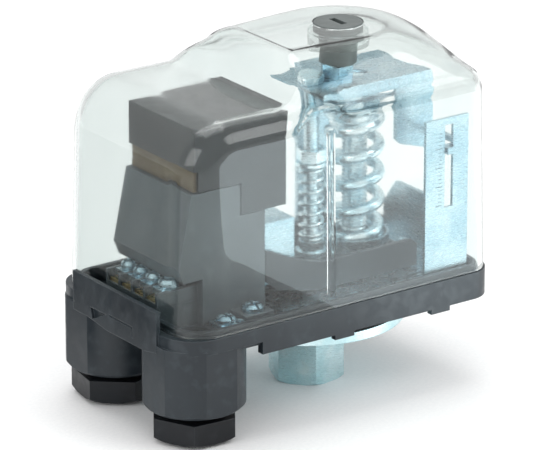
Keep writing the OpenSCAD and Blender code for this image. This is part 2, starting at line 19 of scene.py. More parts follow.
import bmesh
import bpy
import numpy as np
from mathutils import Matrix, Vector

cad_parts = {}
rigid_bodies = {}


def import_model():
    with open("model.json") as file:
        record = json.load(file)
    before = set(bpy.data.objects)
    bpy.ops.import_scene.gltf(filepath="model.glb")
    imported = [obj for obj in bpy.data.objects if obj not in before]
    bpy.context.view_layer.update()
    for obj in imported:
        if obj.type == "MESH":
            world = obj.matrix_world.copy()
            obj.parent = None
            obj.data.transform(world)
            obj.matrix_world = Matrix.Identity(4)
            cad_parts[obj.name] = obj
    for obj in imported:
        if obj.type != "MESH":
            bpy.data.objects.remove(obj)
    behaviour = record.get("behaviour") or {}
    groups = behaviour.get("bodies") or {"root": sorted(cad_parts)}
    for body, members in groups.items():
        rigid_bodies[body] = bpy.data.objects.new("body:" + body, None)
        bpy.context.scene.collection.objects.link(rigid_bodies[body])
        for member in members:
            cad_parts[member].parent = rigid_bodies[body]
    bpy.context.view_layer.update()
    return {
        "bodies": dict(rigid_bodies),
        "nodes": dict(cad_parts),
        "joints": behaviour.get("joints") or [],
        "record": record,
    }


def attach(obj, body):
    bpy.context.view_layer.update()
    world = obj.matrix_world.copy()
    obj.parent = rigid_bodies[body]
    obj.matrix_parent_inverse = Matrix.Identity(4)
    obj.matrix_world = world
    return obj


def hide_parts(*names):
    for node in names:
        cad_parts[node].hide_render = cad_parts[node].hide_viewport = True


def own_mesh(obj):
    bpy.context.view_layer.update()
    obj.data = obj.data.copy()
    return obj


MM = 0.001
ROUND_SIDES = 72
log = logging.getLogger("pressure_switch")

Colour = tuple[float, float, float]
Socket = Any
Faces = list[tuple[int, ...]]


class Slot(Enum):
    """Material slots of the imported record."""

    COVER = "clear_cover"
    SPRING = "spring_steel"
    ZINC = "zinc_plate"


class Body(Enum):
    """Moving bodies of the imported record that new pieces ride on."""

    BASE = "base"
    COVER = "cover"


# ---------------------------------------------------------------------------
# Shader building
# ---------------------------------------------------------------------------


class ShaderBench:
    """Places and links nodes in one shader tree."""

    def __init__(self, tree: bpy.types.ShaderNodeTree) -> None:
        """Takes the tree to work in.

        Args:
            tree: A material's node tree or a node group.
        """
        self.tree = tree

    def node(self, kind: str, **settings: Any) -> bpy.types.Node:
        """Adds a node and sets its properties.

        Args:
            kind: Blender's name for the node type.
            settings: Properties of the node.

        Returns:
            The new node.
        """
        made = self.tree.nodes.new(kind)
        for key, value in settings.items():
            setattr(made, key, value)
        return made

    def feed(self, socket: Socket, value: Any) -> None:
        """Links an output to a socket, or sets the socket's own value.

        Args:
            socket: The input socket.
            value: An output socket, a number or a colour.
        """
        if isinstance(value, bpy.types.NodeSocket):
            self.tree.links.new(value, socket)
        elif isinstance(value, tuple) and len(socket.default_value) == 4:
            socket.default_value = (*value, 1.0)
        else:
            socket.default_value = value

    def math(self, operation: str, a: Any, b: Any = 0.0) -> Socket:
        """Adds a Math node and returns its value."""
        made = self.node("ShaderNodeMath", operation=operation)
        self.feed(made.inputs[0], a)
        self.feed(made.inputs[1], b)
        return made.outputs[0]

    def remap(self, value: Socket, low: float, high: float, to_low: Any, to_high: Any) -> Socket:
        """Maps a value from one range to another, clamped.

        Args:
            value: The value to map.
            low: Value that gives to_low.
            high: Value that gives to_high.
            to_low: Result at low.
            to_high: Result at high.

        Returns:
            The mapped value.
        """
        made = self.node("ShaderNodeMapRange", interpolation_type="SMOOTHSTEP")
        for socket, item in zip(made.inputs, (value, low, high, to_low, to_high)):
            self.feed(socket, item)
        return made.outputs[0]

    def place(self, stretch: tuple[float, float, float] = (1.0, 1.0, 1.0)) -> Socket:
        """Returns the surface's place in its own object, stretched per axis."""
        coordinates = self.node("ShaderNodeTexCoord")
        mapping = self.node("ShaderNodeMapping")
        self.feed(mapping.inputs["Scale"], Vector(stretch))
        self.feed(mapping.inputs["Vector"], coordinates.outputs["Object"])
        return mapping.outputs[0]

    def noise(self, place: Socket, scale: Any, detail: float = 2.0, roughness: float = 0.5) -> Socket:
        """Adds noise.

        Args:
            place: Coordinates.
            scale: Cells per metre.
            detail: Octaves.
            roughness: Share of the finer octaves.

        Returns:
            The noise value.
        """
        made = self.node("ShaderNodeTexNoise")
        self.feed(made.inputs["Vector"], place)
        self.feed(made.inputs["Scale"], scale)
        self.feed(made.inputs["Detail"], detail)
        self.feed(made.inputs["Roughness"], roughness)
        return made.outputs["Fac"]

    def mix(self, share: Any, a: Any, b: Any, blend: str = "MIX") -> Socket:
        """Mixes two colours by a share."""
        made = self.node("ShaderNodeMix", data_type="RGBA", blend_type=blend)
        self.feed(made.inputs[0], share)
        self.feed(made.inputs[6], a)
        self.feed(made.inputs[7], b)
        return made.outputs[2]


FLOAT, COLOUR, VECTOR = "NodeSocketFloat", "NodeSocketColor", "NodeSocketVector"
SURFACE = {"Colour": COLOUR, "Roughness": FLOAT, "Height": FLOAT}


def shared_group(
    name: str,
    takes: dict[str, str],
    gives: dict[str, str],
    wire: Callable[[ShaderBench, dict[str, Socket]], dict[str, Socket]],
) -> bpy.types.ShaderNodeTree:
    """Builds a shader node group once and returns the same one after that.

    Args:
        name: The group's name.
        takes: Name and kind of each input.
        gives: Name and kind of each output.
        wire: Builds the inside, from the inputs to a value for each output.

    Returns:
        The node group.
    """
    if name in bpy.data.node_groups:
        return bpy.data.node_groups[name]
    tree = bpy.data.node_groups.new(name, "ShaderNodeTree")
    for sockets, way in ((takes, "INPUT"), (gives, "OUTPUT")):
        for key, kind in sockets.items():
            tree.interface.new_socket(key, in_out=way, socket_type=kind)
    bench = ShaderBench(tree)
    entry, leave = bench.node("NodeGroupInput"), bench.node("NodeGroupOutput")
    results = wire(bench, {key: entry.outputs[key] for key in takes})
    for key, value in results.items():
        bench.feed(leave.inputs[key], value)
    return tree


def moulded_skin() -> bpy.types.ShaderNodeTree:
    """Spark-eroded grain, flow marks and a dusty bloom of a moulded plastic, and paler edges that are partly
    rubbed wear and partly a painted edge highlight.
    """

    def wire(bench: ShaderBench, given: dict[str, Socket]) -> dict[str, Socket]:
        here = bench.place()
        fine = bench.noise(here, given["Grain per Metre"], 3.0, 0.6)
        flow = bench.noise(bench.place((1.0, 1.0, 0.35)), 55.0, 3.0)
        cloud = bench.noise(here, 260.0, 2.0)
        tone = bench.remap(flow, 0.35, 0.68, 0.0, 1.0)
        bloom = bench.math("MULTIPLY", bench.remap(cloud, 0.5, 0.75, 0.0, 1.0), given["Bloom"])
        body = bench.mix(tone, given["Deep Colour"], given["Face Colour"])
        dusty = bench.mix(bloom, body, given["Bloom Colour"])
        # Edges mixed towards the bloom colour: partly rubbed wear, partly a painted highlight along the
        # edges.
        worn_and_painted_highlight = bench.mix(bench.math("MULTIPLY", given["Edge"], 0.55), dusty, given["Bloom Colour"])
        sheen = bench.remap(cloud, 0.3, 0.7, given["Gloss Roughness"], given["Dull Roughness"])
        rough = bench.math("SUBTRACT", sheen, bench.math("MULTIPLY", given["Edge"], 0.1))
        height = bench.math("ADD", fine, bench.math("MULTIPLY", flow, 0.5))
        return {"Colour": worn_and_painted_highlight, "Roughness": rough, "Height": height}

    # The bloom colour also paints the paler edges: rubbed wear and a painted edge highlight.
    colours = ("Face Colour", "Deep Colour", "Bloom Colour")
    numbers = ("Bloom", "Gloss Roughness", "Dull Roughness", "Grain per Metre", "Edge")
    takes = dict.fromkeys(colours, COLOUR) | dict.fromkeys(numbers, FLOAT)
    return shared_group("moulded_skin", takes, SURFACE, wire)


def soft_edges() -> bpy.types.ShaderNodeTree:
    """Rounds hard edges in the shading, and gives a mask of where they are."""

    def wire(bench: ShaderBench, given: dict[str, Socket]) -> dict[str, Socket]:
        bevel = bench.node("ShaderNodeBevel", samples=6)
        bench.feed(bevel.inputs["Radius"], given["Radius"])
        geometry = bench.node("ShaderNodeNewGeometry")
        dot = bench.node("ShaderNodeVectorMath", operation="DOT_PRODUCT")
        bench.feed(dot.inputs[0], bevel.outputs[0])
        bench.feed(dot.inputs[1], geometry.outputs["Normal"])
        mask = bench.remap(dot.outputs["Value"], 0.995, 0.86, 0.0, 1.0)
        return {"Normal": bevel.outputs[0], "Edge": mask}

    return shared_group("soft_edges", {"Radius": FLOAT}, {"Normal": VECTOR, "Edge": FLOAT}, wire)


def passivated_plating() -> bpy.types.ShaderNodeTree:
    """Zinc plating with the drifting blue, straw and pale tints of its passivation, and paler edges that are
    partly rubbed wear and partly a painted edge highlight.
    """

    def wire(bench: ShaderBench, given: dict[str, Socket]) -> dict[str, Socket]:
        here = bench.place()
        drift = bench.noise(here, 75.0, 3.0, 0.55)
        patch = bench.noise(here, 190.0, 2.0)
        streak = bench.noise(bench.place((1.0, 1.0, 9.0)), 420.0, 3.0, 0.65)
        pits = bench.noise(here, 5200.0, 2.0)
        cool = bench.mix(bench.remap(drift, 0.38, 0.62, 0.0, 1.0), given["Cool"], given["Pale"])
        straw = bench.remap(patch, 0.58, 0.74, 0.0, given["Straw Share"])
        tinted = bench.mix(straw, cool, given["Straw"])
        # Edges mixed towards the pale tint: partly rubbed wear, partly a painted highlight along the edges.
        rubbed_and_painted_highlight = bench.mix(bench.math("MULTIPLY", given["Edge"], 0.6), tinted, given["Pale"])
        rough = bench.remap(streak, 0.3, 0.7, given["Bright Roughness"], given["Dull Roughness"])
        height = bench.math("ADD", bench.math("MULTIPLY", streak, 0.6), bench.math("MULTIPLY", pits, 0.4))
        return {"Colour": rubbed_and_painted_highlight, "Roughness": rough, "Height": height}

    numbers = ("Straw Share", "Bright Roughness", "Dull Roughness", "Edge")
    takes = dict.fromkeys(("Cool", "Pale", "Straw"), COLOUR) | dict.fromkeys(numbers, FLOAT)
    return shared_group("passivated_plating", takes, SURFACE, wire)


def clear_moulding() -> bpy.types.ShaderNodeTree:
    """Faint flow waves and wiping marks of a clear moulding."""

    def wire(bench: ShaderBench, given: dict[str, Socket]) -> dict[str, Socket]:
        waves = bench.noise(bench.place((1.0, 1.0, 0.4)), 38.0, 2.0)
        wiping = bench.noise(bench.place((0.4, 0.4, 3.0)), 300.0, 3.0, 0.7)
        rough = bench.remap(wiping, 0.45, 0.8, given["Clean Roughness"], given["Wiped Roughness"])
        tint = bench.mix(bench.remap(waves, 0.3, 0.7, 0.0, 1.0), given["Tint"], given["Pale Tint"])
        return {"Colour": tint, "Roughness": rough, "Height": waves}

    numbers = ("Clean Roughness", "Wiped Roughness")
    takes = dict.fromkeys(("Tint", "Pale Tint"), COLOUR) | dict.fromkeys(numbers, FLOAT)
    return shared_group("clear_moulding", takes, SURFACE, wire)


def start_material(name: str) -> tuple[bpy.types.Material, ShaderBench, bpy.types.Node]:
    """Makes a material with one Principled shader.

    Args:
        name: The material's name.

    Returns:
        The material, a bench on its tree, and the Principled node.
    """
    material = bpy.data.materials.new(name)
    material.use_nodes = True
    material.node_tree.nodes.clear()
    bench = ShaderBench(material.node_tree)
    shader = bench.node("ShaderNodeBsdfPrincipled")
    output = bench.node("ShaderNodeOutputMaterial")
    bench.feed(output.inputs["Surface"], shader.outputs[0])
    return material, bench, shader


def place_group(bench: ShaderBench, tree: bpy.types.ShaderNodeTree, **values: Any) -> bpy.types.Node:
    """Places a shared group in a material.

    Args:
        bench: The material's bench.
        tree: The group.
        values: Its inputs, with underscores for the spaces in their names.

    Returns:
        The group node.
    """
    made = bench.node("ShaderNodeGroup", node_tree=tree)
    for key, value in values.items():
        bench.feed(made.inputs[key.replace("_", " ")], value)
    return made


def lay_skin(
    bench: ShaderBench, shader: bpy.types.Node, skin: bpy.types.Node, depth: float, under: Socket | None
) -> None:
    """Feeds a group's colour, roughness and relief into the shader.

    Args:
        bench: The material's bench.
        shader: The Principled node.
        skin: The placed group.
        depth: Real depth of the relief, in metres.
        under: The normal below the relief, or None for the mesh's own.
    """
    bench.feed(shader.inputs["Base Color"], skin.outputs["Colour"])
    bench.feed(shader.inputs["Roughness"], skin.outputs["Roughness"])
    bump = bench.node("ShaderNodeBump")
    bump.inputs["Strength"].default_value = 1.0
    bump.inputs["Distance"].default_value = depth
    bench.feed(bump.inputs["Height"], skin.outputs["Height"])
    if under is not None:
        bench.feed(bump.inputs["Normal"], under)
    bench.feed(shader.inputs["Normal"], bump.outputs[0])


# ---------------------------------------------------------------------------
# Finishes
# ---------------------------------------------------------------------------


@dataclass(frozen=True)
class MouldedFinish:
    """A filled polyamide, rubber or phenolic moulding."""

    name: str
    face: Colour
    deep: Colour
    # Colour of the dusty bloom, also mixed onto the edges as rubbed wear and a painted edge highlight.
    bloom_and_highlight_colour: Colour
    bloom: float = 0.12
    gloss: float = 0.34
    dull: float = 0.5
    grain: float = 2600.0
    depth: float = 0.00002
    edge_radius: float = 0.00035
    specular: float = 0.5

    def material(self) -> bpy.types.Material:
        """Returns the finish as a material."""
        material, bench, shader = start_material(self.name)
        edges = place_group(bench, soft_edges(), Radius=self.edge_radius)
        skin = place_group(
            bench,
            moulded_skin(),
            Face_Colour=self.face,
            Deep_Colour=self.deep,
            Bloom_Colour=self.bloom_and_highlight_colour,
            Bloom=self.bloom,
            Gloss_Roughness=self.gloss,
            Dull_Roughness=self.dull,
            Grain_per_Metre=self.grain,
            Edge=edges.outputs["Edge"],
        )
        shader.inputs["Specular IOR Level"].default_value = self.specular
        lay_skin(bench, shader, skin, self.depth, edges.outputs["Normal"])
        return material


@dataclass(frozen=True)
class PlatedFinish:
    """Steel under zinc plating, or bare brass, satin to bright."""

    name: str
    cool: Colour
    pale: Colour
    straw: Colour
    straw_share: float = 0.35
    bright: float = 0.2
    dull: float = 0.4
    depth: float = 0.000008
    edge_radius: float = 0.0002

    def material(self) -> bpy.types.Material:
        """Returns the finish as a material."""
        material, bench, shader = start_material(self.name)
        edges = place_group(bench, soft_edges(), Radius=self.edge_radius)
        plating = place_group(
            bench,
            passivated_plating(),
            Cool=self.cool,
            Pale=self.pale,
            Straw=self.straw,
            Straw_Share=self.straw_share,
            Bright_Roughness=self.bright,
            Dull_Roughness=self.dull,
            Edge=edges.outputs["Edge"],
        )
        shader.inputs["Metallic"].default_value = 1.0
        lay_skin(bench, shader, plating, self.depth, edges.outputs["Normal"])
        return material


@dataclass(frozen=True)
class ClearFinish:
    """A clear polycarbonate moulding that lets the lamps through."""

    name: str
    tint: Colour
    pale: Colour
    shade: Colour
    ior: float = 1.38
    clean: float = 0.0
    wiped: float = 0.045
    wave_depth: float = 0.00006

    def material(self) -> bpy.types.Material:
        """Returns the finish as a material."""
        material, bench, shader = start_material(self.name)
        skin = place_group(
            bench,
            clear_moulding(),
            Tint=self.tint,
            Pale_Tint=self.pale,
            Clean_Roughness=self.clean,
            Wiped_Roughness=self.wiped,
        )
        shader.inputs["Metallic"].default_value = 0.0
        shader.inputs["Transmission Weight"].default_value = 1.0
        shader.inputs["IOR"].default_value = self.ior
        lay_skin(bench, shader, skin, self.wave_depth, None)
        path = bench.node("ShaderNodeLightPath")
        through = bench.node("ShaderNodeBsdfTransparent")
        through.inputs["Color"].default_value = (*self.shade, 1.0)
        join = bench.node("ShaderNodeMixShader")
        bench.feed(join.inputs[0], path.outputs["Is Shadow Ray"])
        bench.feed(join.inputs[1], shader.outputs[0])
        bench.feed(join.inputs[2], through.outputs[0])
        output = next(n for n in material.node_tree.nodes if n.type == "OUTPUT_MATERIAL")
        bench.feed(output.inputs["Surface"], join.outputs[0])
        return material


class FinishShelf:
    """Every finish of the switch, made once each."""

    CHOICES: tuple[Any, ...] = (
        MouldedFinish(
            "anthracite_polyamide", (0.018, 0.025, 0.031), (0.012, 0.017, 0.022), (0.08, 0.10, 0.115),
            bloom=0.16, gloss=0.3, dull=0.46, specular=0.4,
        ),
        MouldedFinish(
            "black_polyamide", (0.008, 0.010, 0.013), (0.005, 0.006, 0.008), (0.045, 0.052, 0.06),
            bloom=0.12, gloss=0.3, dull=0.45, specular=0.3,
        ),
        MouldedFinish(
            "screw_polyamide", (0.095, 0.112, 0.110), (0.066, 0.080, 0.078), (0.22, 0.25, 0.25),
            bloom=0.15, gloss=0.34, dull=0.5,
        ),
        MouldedFinish(
            "phenolic_black", (0.012, 0.015, 0.019), (0.007, 0.009, 0.012), (0.08, 0.09, 0.10),
            bloom=0.1, gloss=0.28, dull=0.42, grain=1800.0,
        ),
        MouldedFinish(
            "phenolic_grey", (0.070, 0.082, 0.092), (0.050, 0.060, 0.068), (0.16, 0.18, 0.20),
            bloom=0.2, gloss=0.3, dull=0.46, grain=1800.0,
        ),
        MouldedFinish(
            "lever_black", (0.015, 0.019, 0.023), (0.009, 0.012, 0.015), (0.09, 0.10, 0.11),
            bloom=0.1, gloss=0.3, dull=0.44,
        ),
        MouldedFinish(
            "pressed_fibre", (0.135, 0.102, 0.062), (0.092, 0.068, 0.042), (0.21, 0.175, 0.12),
            bloom=0.45, gloss=0.5, dull=0.7, grain=900.0, depth=0.00005,
        ),
        MouldedFinish(
            "pusher_moulding", (0.10, 0.105, 0.115), (0.07, 0.075, 0.08), (0.2, 0.21, 0.22), bloom=0.2,
        ),
        MouldedFinish(
            "seal_rubber", (0.016, 0.016, 0.017), (0.010, 0.010, 0.011), (0.08, 0.08, 0.08),
            bloom=0.3, gloss=0.6, dull=0.8, grain=1400.0, edge_radius=0.0005,
        ),
        MouldedFinish(
            "diaphragm_rubber", (0.035, 0.030, 0.028), (0.022, 0.019, 0.018), (0.12, 0.11, 0.1),
            bloom=0.25, gloss=0.6, dull=0.82, grain=1100.0, edge_radius=0.0005,
        ),
        PlatedFinish(
            "blue_zinc", (0.34, 0.49, 0.57), (0.47, 0.60, 0.66), (0.50, 0.58, 0.58),
            bright=0.2, dull=0.36, depth=0.000001,
        ),
        PlatedFinish(
            "port_zinc", (0.48, 0.70, 0.74), (0.64, 0.81, 0.84), (0.62, 0.71, 0.68),
            straw_share=0.3, bright=0.22, dull=0.38, edge_radius=0.0003,
        ),
        PlatedFinish(
            "spring_zinc", (0.66, 0.87, 0.95), (0.88, 0.97, 1.0), (0.82, 0.88, 0.89),
            straw_share=0.2, bright=0.2, dull=0.36, depth=0.000002,
        ),
        PlatedFinish(
            "washer_zinc", (0.55, 0.62, 0.64), (0.76, 0.80, 0.80), (0.68, 0.68, 0.62),
            bright=0.24, dull=0.42,
        ),
        PlatedFinish(
            "contact_brass", (0.70, 0.50, 0.22), (0.82, 0.66, 0.36), (0.58, 0.38, 0.16),
            bright=0.2, dull=0.36,
        ),
        MouldedFinish(
            "scale_ink", (0.10, 0.17, 0.22), (0.07, 0.13, 0.17), (0.20, 0.28, 0.32),
            bloom=0.2, depth=0.000004,
        ),
        ClearFinish(
            "clear_polycarbonate", (0.805, 0.843, 0.832), (0.835, 0.870, 0.860), (0.88, 0.92, 0.90),
            clean=0.02, wiped=0.09,
        ),
        ClearFinish(
            "clear_core_side", (0.805, 0.843, 0.832), (0.835, 0.870, 0.860), (0.88, 0.92, 0.90),
            clean=0.08, wiped=0.14,
        ),
    )

    def __init__(self) -> None:
        """Makes the materials."""
        self._made = {choice.name: choice.material() for choice in self.CHOICES}

    def take(self, name: str) -> bpy.types.Material:
        """Returns a finish's material by its name."""
        return self._made[name]


# ---------------------------------------------------------------------------
# Mesh building
# ---------------------------------------------------------------------------


@dataclass
class MeshDraft:
    """Points in millimetres and the faces over them."""

    points: np.ndarray
    faces: Faces

    def joined(self, other: MeshDraft) -> MeshDraft:
        """Returns this draft with another one beside it."""
        shift = len(self.points)
        moved = [tuple(i + shift for i in face) for face in other.faces]
        return MeshDraft(np.vstack([self.points, other.points]), self.faces + moved)

    def piece(self, name: str, sharp_degrees: float = 40.0) -> bpy.types.Object:
        """Makes the draft into an object.

        Args:
            name: The piece's name.
            sharp_degrees: Edges bent more than this stay sharp in the shading.

        Returns:
            The object, in metres.
        """
        mesh = bpy.data.meshes.new(name)
        mesh.from_pydata((self.points * MM).tolist(), [], self.faces)
        mesh.validate()
        tidy = bmesh.new()
        tidy.from_mesh(mesh)
        bmesh.ops.remove_doubles(tidy, verts=tidy.verts, dist=1e-7)
        bmesh.ops.recalc_face_normals(tidy, faces=tidy.faces)
        tidy.to_mesh(mesh)
        tidy.free()
        smooth_faces(mesh, sharp_degrees)
        obj = bpy.data.objects.new(name, mesh)
        bpy.context.scene.collection.objects.link(obj)
        return obj


def smooth_faces(mesh: bpy.types.Mesh, sharp_degrees: float) -> None:
    """Shades a mesh smooth except over its sharp edges.

    Args:
        mesh: The mesh.
        sharp_degrees: Edges bent more than this stay sharp.
    """
    mesh.polygons.foreach_set("use_smooth", [True] * len(mesh.polygons))
    mesh.set_sharp_from_angle(angle=math.radians(sharp_degrees))
    mesh.update()


def ring_tube(rings: np.ndarray, closed_ends: bool = True) -> MeshDraft:
    """Joins rings of points into a tube.

    Args:
        rings: Array of rings by points by 3.
        closed_ends: Whether the first and last ring are capped.

    Returns:
        The tube.
    """
    count, sides, _ = rings.shape
    faces: Faces = []
    for i in range(count - 1):
        for j in range(sides):
            k = (j + 1) % sides
            faces.append((i * sides + j, i * sides + k, (i + 1) * sides + k, (i + 1) * sides + j))
    if closed_ends:
        faces.append(tuple(range(sides - 1, -1, -1)))
        faces.append(tuple(range((count - 1) * sides, count * sides)))
    return MeshDraft(rings.reshape(-1, 3), faces)


def round_angles(count: int) -> np.ndarray:
    """Returns evenly spaced angles round a circle."""
    return np.linspace(0.0, 2 * math.pi, count, endpoint=False)


def smooth_step(value: np.ndarray, low: float, high: float) -> np.ndarray:
    """Returns 0 below low, 1 above high and a smooth rise between."""
    share = np.clip((value - low) / (high - low), 0.0, 1.0)
    return share * share * (3.0 - 2.0 * share)


# ---------------------------------------------------------------------------
# Sub-assemblies
# ---------------------------------------------------------------------------


@dataclass
class Assembly:
    """A sub-assembly of the switch: its CAD nodes, its finishes and its own pieces."""

    frame: dict[str, Any]
    shelf: FinishShelf

    def dress(self, finish: str, *nodes: str) -> None:
        """Gives CAD nodes a finish.

        Args:
            finish: The finish's name.
            nodes: The CAD nodes.
        """
        for node in nodes:
            obj = self.frame["nodes"][node]
            if not obj.data.materials:
                obj.data.materials.append(self.shelf.take(finish))
            for place in obj.material_slots:
                place.material = self.shelf.take(finish)

    def settle(
        self, piece: bpy.types.Object, finish: str, body: Body, slot: Slot, stands_for: Iterable[str] = ()
    ) -> bpy.types.Object:
        """Dresses a new piece and fixes it to its body.

        Args:
            piece: The new piece.
            finish: Its finish.
            body: The body it rides on.
            slot: The record's material slot; not used.
            stands_for: CAD nodes it replaces.

        Returns:
            The piece.
        """
        piece.data.materials.append(self.shelf.take(finish))
        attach(piece, body.value)
        if stands_for:
            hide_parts(*stands_for)
        log.info("%s rides on %s", piece.name, body.value)
        return piece


def round_meet(a: np.ndarray, b: np.ndarray, radius: np.ndarray | float) -> np.ndarray:
    """Intersects two distance fields with a rounded edge.

    Args:
        a: First signed distance, negative inside.
        b: Second signed distance.
        radius: Radius of the rounded edge.

    Returns:
        The field of the intersection.
    """
    over_a, over_b = np.maximum(a + radius, 0.0), np.maximum(b + radius, 0.0)
    return np.minimum(-radius, np.maximum(a, b)) + np.hypot(over_a, over_b)


def round_join(a: np.ndarray, b: np.ndarray, radius: np.ndarray | float) -> np.ndarray:
    """Unites two distance fields with a hollow fillet between them.

    Args:
        a: First signed distance, negative inside.
        b: Second signed distance.
        radius: Radius of the fillet.

    Returns:
        The field of the union.
    """
    under_a, under_b = np.maximum(radius - a, 0.0), np.maximum(radius - b, 0.0)
    return np.maximum(radius, np.minimum(a, b)) - np.hypot(under_a, under_b)


@dataclass(frozen=True)
class DomeSlice:
    """Level outline of the dome: two corner arcs at the gland side, two at the scale side."""

    height: float
    near_x: float
    near_half: float
    near_radius: float
    far_x: float
    far_half: float
    far_radius: float

    def reach(self, angles: np.ndarray) -> np.ndarray:
        """Returns how far the outline reaches in each direction.

        Args:
            angles: Directions in the level plane, in radians.

        Returns:
            Distance of the outline's tangent from the origin.
        """
        cos, sin = np.cos(angles), np.sin(angles)
        best = np.full(angles.shape, -np.inf)
        for side in (-1.0, 1.0):
            for x, half, radius in (
                (self.near_x, self.near_half, self.near_radius),
                (self.far_x, self.far_half, self.far_radius),
            ):
                best = np.maximum(best, x * cos + side * half * sin + radius)
        return best


@dataclass
class CoverShell(Assembly):
    """The clear lift-off cover: a drafted box with a dome over the springs."""

    near_x: float = -67.3
    far_x: float = 44.9
    half_depth: float = 35.1
    foot: float = 35.6
    shoulder: float = 98.9
    near_draft: float = 1.7
    far_draft: float = 1.2
    side_draft: float = 0.8
    near_corner: float = 11.4
    far_corner: float = 8.3
    near_top_radius: float = 16.0
    far_top_radius: float = 8.0
    side_top_radius: float = 8.0
    wall: float = 1.6
    dome_thinning: float = 0.7
    dome_edge: float = 4.2
    sweep: float = 7.0
    far_sweep: float = 1.5
    sweep_change: tuple[float, float] = (-20.0, -8.0)
    dome_low: DomeSlice = DomeSlice(97.0, -19.5, 29.5, 4.0, 34.0, 25.5, 8.0)
    dome_high: DomeSlice = DomeSlice(110.4, -15.8, 15.0, 4.0, 11.2, 0.0, 21.4)
    dome_planes: int = 120
    rib_x: float = -15.5
    rib_half: float = 1.5
    rib_depth: float = 0.7
    rib_low: float = 37.8
    rib_high: float = 90.9
    screw_x: float = 11.4
    seat_height: float = 106.4
    seat_radius: float = 7.8
    hole_radius: float = 6.05
    boss_radius: float = 9.2
    boss_low: float = 103.4
    step_x: float = 1.6
    step_y: float = 1.5
    step_z: float = 2.6
    fine_x: tuple[tuple[float, float, float], ...] = ((-17.1, -13.9, 0.2), (-27.5, -17.5, 0.4))
    fine_y: tuple[tuple[float, float, float], ...] = ((-26.0, -14.0, 1.0), (14.0, 26.0, 1.0))
    fine_z: tuple[tuple[float, float, float], ...] = ((84.0, 99.0, 1.0),)
    core_near: float = 17.0
    core_far: float = 11.0
    core_side: float = 12.0
    core_top: float = 16.0
    ray_reach: float = 60.0
    ray_halvings: int = 34

    def _walls(self, z: np.ndarray) -> tuple[np.ndarray, np.ndarray, np.ndarray]:
        """Places of the drafted walls at each height: gland end, scale end and half depth."""
        rise = np.clip((z - self.foot) / (self.shoulder - self.foot), 0.0, 1.2)
        low = self.near_x + self.near_draft * rise
        return low, self.far_x - self.far_draft * rise, self.half_depth - self.side_draft * rise

    def _outline(self, x: np.ndarray, y: np.ndarray, z: np.ndarray) -> np.ndarray:
        """Distance from the drafted side walls, by the plan's rounded rectangle."""
        low, high, half = self._walls(z)
        middle = (low + high) / 2
        radius = np.where(x < middle, self.near_corner, self.far_corner)
        over_x = np.abs(x - middle) - (high - low) / 2 + radius
        over_y = np.abs(y) - half + radius
        outside = np.hypot(np.maximum(over_x, 0.0), np.maximum(over_y, 0.0))
        return outside + np.minimum(np.maximum(over_x, over_y), 0.0) - radius

    def _box(self, x: np.ndarray, y: np.ndarray, z: np.ndarray) -> np.ndarray:
        """Distance from the box, whose side profile is rounded before its long edges."""
        low, high, half = self._walls(z)
        over = z - self.shoulder
        near_side = round_meet(low - x, over, self.near_top_radius)
        far_side = round_meet(x - high, over, self.far_top_radius)
        profile = np.where(x < (low + high) / 2, near_side, far_side)
        inward = np.maximum(low + self.near_top_radius - x, 0.0) ** 2
        upward = np.maximum(over + self.near_top_radius, 0.0) ** 2
        share = inward / np.maximum(inward + upward, 1e-6)
        edge = self.side_top_radius + (self.near_corner - self.side_top_radius) * share
        return round_meet(profile, np.abs(y) - half, edge)

    def _dome(self, x: np.ndarray, y: np.ndarray, z: np.ndarray) -> np.ndarray:
        """Distance from the dome, as a hull between its two level outlines."""
        angles = round_angles(self.dome_planes)
        low, high = self.dome_low.reach(angles), self.dome_high.reach(angles)
        span = self.dome_high.height - self.dome_low.height
        share = np.clip((z - self.dome_low.height) / span, 0.0, 1.0)
        side = np.full(x.shape, -np.inf)
        for angle, at_low, at_high in zip(angles, low, high):
            lean = (at_low - at_high) / span
            plane = x * math.cos(angle) + y * math.sin(angle) - (at_low + (at_high - at_low) * share)
            side = np.maximum(side, plane / math.hypot(1.0, lean))
        return round_meet(side, z - self.dome_high.height, self.dome_edge)

    def distance(self, points: np.ndarray) -> np.ndarray:
        """Signed distance from the outer skin.

        Args:
            points: Array of points by 3.

        Returns:
            Distance of each point, negative inside.
        """
        x, y, z = points.T
        outline = self._outline(x, y, z)
        fillet = self.far_sweep + (self.sweep - self.far_sweep) * (1.0 - smooth_step(x, *self.sweep_change))
        return np.maximum(round_join(self._box(x, y, z), self._dome(x, y, z), fillet), outline)

    def _thickness(self, points: np.ndarray) -> np.ndarray:
        """Wall thickness, with the rib inside the front and back walls."""
        x, y, z = points.T
        bow = np.sqrt(np.maximum(1.0 - ((x - self.rib_x) / self.rib_half) ** 2, 0.0))
        along = smooth_step(z, self.rib_low, self.rib_low + 1.5)
        along = along * (1.0 - smooth_step(z, self.rib_high - 2.0, self.rib_high))
        thin = self.dome_thinning * smooth_step(z, self.shoulder - 1.0, self.shoulder + 4.0)
        return self.wall - thin + self.rib_depth * bow * along * (np.abs(y) > self.half_depth / 2)

    @staticmethod
    def _lines(
        low: float, high: float, step: float, fine: Sequence[tuple[float, float, float]]
    ) -> np.ndarray:
        """Returns grid lines with finer spacing in the given spans."""

        def even(start: float, end: float, gap: float) -> set[float]:
            return set(np.round(np.linspace(start, end, int(round((end - start) / gap)) + 1), 4))

        lines = even(low, high, step)
        for start, end, gap in fine:
            lines = {v for v in lines if not start < v < end} | even(start, end, gap)
        return np.array(sorted(lines))

